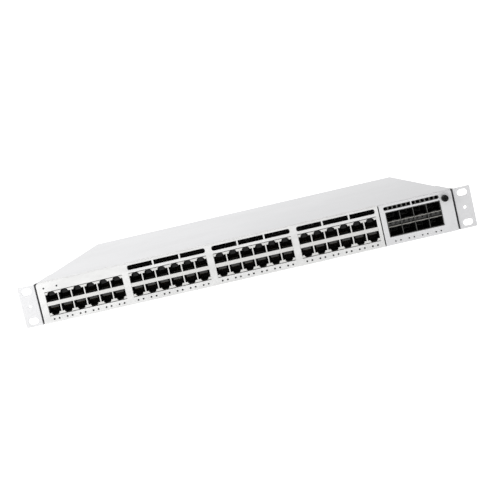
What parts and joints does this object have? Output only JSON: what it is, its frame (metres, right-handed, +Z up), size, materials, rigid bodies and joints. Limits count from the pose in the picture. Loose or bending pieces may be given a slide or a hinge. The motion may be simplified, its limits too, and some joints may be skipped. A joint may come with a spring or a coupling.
{
  "type": "rackmount network switch",
  "caption": "Flat one-unit rack switch with stacked jack blocks, a slide-in uplink module, pull-out fan modules and power supplies, and slotted rack ears.",
  "frame": {"origin": "centre of the bounding box's floor: on the chassis's underside, half-way between the ears and half-way from the module screw's knob to the supply handles", "axes": "+X to the right seen from the front, +Y towards the rear, +Z up; the port side faces -Y"},
  "size_m": [0.4826, 0.477, 0.044],
  "materials": {
    "white_shell": "fine white powder coat",
    "white_plastic": "satin moulded white",
    "black_plastic": "satin black",
    "jack_plastic": "black moulding with tinned steel shield",
    "zinc_steel": "zinc plated",
    "cage_metal": "nickel plated, dulled",
    "board_green": "green solder mask",
    "heat_sink": "plain extruded",
    "clear_pipe": "clear moulded"
  },
  "bodies": {
    "chassis": {"base_tray": "white_shell", "top_cover": "white_shell", "rack_ear_left": "white_shell", "rack_ear_right": "white_shell", "ear_screw_left_1": "zinc_steel", "ear_screw_left_2": "zinc_steel", "ear_screw_left_3": "zinc_steel", "ear_screw_right_1": "zinc_steel", "ear_screw_right_2": "zinc_steel", "ear_screw_right_3": "zinc_steel", "front_bezel": "white_plastic", "jack_block_1": "jack_plastic", "jack_block_2": "jack_plastic", "jack_block_3": "jack_plastic", "jack_block_4": "jack_plastic", "light_pipes_1": "clear_pipe", "light_pipes_2": "clear_pipe", "light_pipes_3": "clear_pipe", "light_pipes_4": "clear_pipe", "main_board": "board_green", "switch_heat_sink": "heat_sink", "port_heat_sink": "heat_sink", "module_bay_wall": "zinc_steel", "module_socket": "black_plastic", "power_backplane": "board_green", "management_jacks": "cage_metal", "usb_port": "cage_metal", "stack_port_1": "black_plastic", "stack_port_2": "black_plastic", "stack_power_ports": "black_plastic"},
    "reset_button": {"reset_button": "black_plastic"},
    "network_module": {"module_faceplate": "white_shell", "module_light_pipes": "clear_pipe", "module_tray": "zinc_steel", "module_board": "board_green", "sfp_cage": "cage_metal"},
    "module_screw": {"module_screw": "black_plastic"},
    "fan_1_module": {"fan_1_housing": "black_plastic"},
    "fan_1_rotor": {"fan_1_rotor": "black_plastic"},
    "fan_1_latch": {"fan_1_latch": "black_plastic"},
    "fan_2_module": {"fan_2_housing": "black_plastic"},
    "fan_2_rotor": {"fan_2_rotor": "black_plastic"},
    "fan_2_latch": {"fan_2_latch": "black_plastic"},
    "fan_3_module": {"fan_3_housing": "black_plastic"},
    "fan_3_rotor": {"fan_3_rotor": "black_plastic"},
    "fan_3_latch": {"fan_3_latch": "black_plastic"},
    "supply_a_module": {"supply_a_case": "zinc_steel", "supply_a_board": "board_green", "supply_a_panel": "zinc_steel", "supply_a_inlet": "black_plastic", "supply_a_handle": "black_plastic"},
    "supply_a_rotor": {"supply_a_rotor": "black_plastic"},
    "supply_a_latch": {"supply_a_latch": "black_plastic"},
    "supply_b_module": {"supply_b_case": "zinc_steel", "supply_b_board": "board_green", "supply_b_panel": "zinc_steel", "supply_b_inlet": "black_plastic", "supply_b_handle": "black_plastic"},
    "supply_b_rotor": {"supply_b_rotor": "black_plastic"},
    "supply_b_latch": {"supply_b_latch": "black_plastic"}
  },
  "joints": [
    {"name": "reset_press", "type": "slide", "parent": "chassis", "child": "reset_button", "axis": [0, 1, 0], "range_m": [0, 0.001], "stiffness_N_per_m": 400},
    {"name": "network_module_slide", "type": "slide", "parent": "chassis", "child": "network_module", "axis": [0, -1, 0], "range_m": [0, 0.15]},
    {"name": "module_screw_turn", "type": "hinge", "parent": "network_module", "child": "module_screw", "pos_m": [0.213, -0.2325, 0.0361], "axis": [0, -1, 0], "range_deg": [0, 1800]},
    {"name": "fan_1_slide", "type": "slide", "parent": "chassis", "child": "fan_1_module", "axis": [0, 1, 0], "range_m": [0, 0.08]},
    {"name": "fan_1_spin", "type": "hinge", "parent": "fan_1_module", "child": "fan_1_rotor", "pos_m": [-0.00995, 0.1825, 0.022], "axis": [0, 1, 0], "continuous": true},
    {"name": "fan_1_latch_pinch", "type": "hinge", "parent": "fan_1_module", "child": "fan_1_latch", "pos_m": [0.01255, 0.2138, 0.022], "axis": [0, 0, 1], "range_deg": [0, 5], "stiffness_Nm_per_rad": 0.3},
    {"name": "fan_2_slide", "type": "slide", "parent": "chassis", "child": "fan_2_module", "axis": [0, 1, 0], "range_m": [0, 0.08]},
    {"name": "fan_2_spin", "type": "hinge", "parent": "fan_2_module", "child": "fan_2_rotor", "pos_m": [0.03725, 0.1825, 0.022], "axis": [0, 1, 0], "continuous": true},
    {"name": "fan_2_latch_pinch", "type": "hinge", "parent": "fan_2_module", "child": "fan_2_latch", "pos_m": [0.05975, 0.2138, 0.022], "axis": [0, 0, 1], "range_deg": [0, 5], "stiffness_Nm_per_rad": 0.3},
    {"name": "fan_3_slide", "type": "slide", "parent": "chassis", "child": "fan_3_module", "axis": [0, 1, 0], "range_m": [0, 0.08]},
    {"name": "fan_3_spin", "type": "hinge", "parent": "fan_3_module", "child": "fan_3_rotor", "pos_m": [0.08445, 0.1825, 0.022], "axis": [0, 1, 0], "continuous": true},
    {"name": "fan_3_latch_pinch", "type": "hinge", "parent": "fan_3_module", "child": "fan_3_latch", "pos_m": [0.10695, 0.2138, 0.022], "axis": [0, 0, 1], "range_deg": [0, 5], "stiffness_Nm_per_rad": 0.3},
    {"name": "supply_a_slide", "type": "slide", "parent": "chassis", "child": "supply_a_module", "axis": [0, 1, 0], "range_m": [0, 0.24]},
    {"name": "supply_a_spin", "type": "hinge", "parent": "supply_a_module", "child": "supply_a_rotor", "pos_m": [-0.1619, 0.1995, 0.022], "axis": [0, 1, 0], "continuous": true},
    {"name": "supply_a_latch_pinch", "type": "hinge", "parent": "supply_a_module", "child": "supply_a_latch", "pos_m": [-0.14105, 0.2138, 0.022], "axis": [0, 0, 1], "range_deg": [0, 5], "stiffness_Nm_per_rad": 0.3},
    {"name": "supply_b_slide", "type": "slide", "parent": "chassis", "child": "supply_b_module", "axis": [0, 1, 0], "range_m": [0, 0.24]},
    {"name": "supply_b_spin", "type": "hinge", "parent": "supply_b_module", "child": "supply_b_rotor", "pos_m": [-0.0794, 0.1995, 0.022], "axis": [0, 1, 0], "continuous": true},
    {"name": "supply_b_latch_pinch", "type": "hinge", "parent": "supply_b_module", "child": "supply_b_latch", "pos_m": [-0.05855, 0.2138, 0.022], "axis": [0, 0, 1], "range_deg": [0, 5], "stiffness_Nm_per_rad": 0.3}
  ]
}
